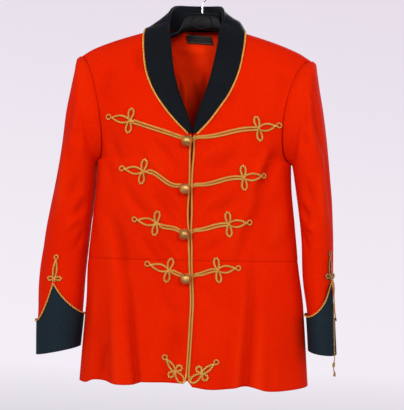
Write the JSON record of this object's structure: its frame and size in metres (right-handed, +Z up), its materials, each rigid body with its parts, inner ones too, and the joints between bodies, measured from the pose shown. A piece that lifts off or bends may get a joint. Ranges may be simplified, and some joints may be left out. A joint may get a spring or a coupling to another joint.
{
  "type": "mess jacket on a coat hanger",
  "caption": "Scarlet wool mess jacket with dark green collar and pointed cuffs, gilt cord frogging and ball buttons, hung flat on a black plastic hanger with a wire hook.",
  "frame": {"origin": "inside top of the hanger hook's bend, where a rail bears", "axes": "+Z up, +X the wearer's left, -Y the front of the jacket"},
  "size_m": [0.5854, 0.2009, 0.7818],
  "materials": {
    "scarlet_cloth": "fulled scarlet wool, matt with a soft nap",
    "dark_green_cloth": "dark blue-green wool, matt",
    "gold_cord": "gilt cord of two twisted strands, dulled with age",
    "red_lining": "glossy red cotton sateen",
    "black_label": "black woven satin",
    "brass": "antique domed brass",
    "black_plastic": "black moulded plastic, satin",
    "bright_steel": "bright plated wire"
  },
  "bodies": {
    "root": {"front_left": "scarlet_cloth", "front_right": "scarlet_cloth", "back": "scarlet_cloth", "skirt_front_left": "scarlet_cloth", "skirt_front_right": "scarlet_cloth", "skirt_back": "scarlet_cloth", "sleeve_left": "scarlet_cloth", "sleeve_right": "scarlet_cloth", "collar": "dark_green_cloth", "cuff_left": "dark_green_cloth", "cuff_right": "dark_green_cloth", "collar_cord": "gold_cord", "cuff_cord_left": "gold_cord", "cuff_cord_right": "gold_cord", "cuff_knot_left": "gold_cord", "cuff_knot_right": "gold_cord", "edge_cord_left": "gold_cord", "edge_cord_right": "gold_cord", "hem_knot_left": "gold_cord", "hem_knot_right": "gold_cord", "frog_left_1": "gold_cord", "frog_left_2": "gold_cord", "frog_left_3": "gold_cord", "frog_left_4": "gold_cord", "frog_right_1": "gold_cord", "frog_right_2": "gold_cord", "frog_right_3": "gold_cord", "frog_right_4": "gold_cord", "back_lining": "red_lining", "neck_label": "black_label", "button_1": "brass", "button_2": "brass", "button_3": "brass", "button_4": "brass", "hanger": "black_plastic", "hanger_hook": "bright_steel", "loose_cord": "gold_cord"}
  },
  "joints": []
}
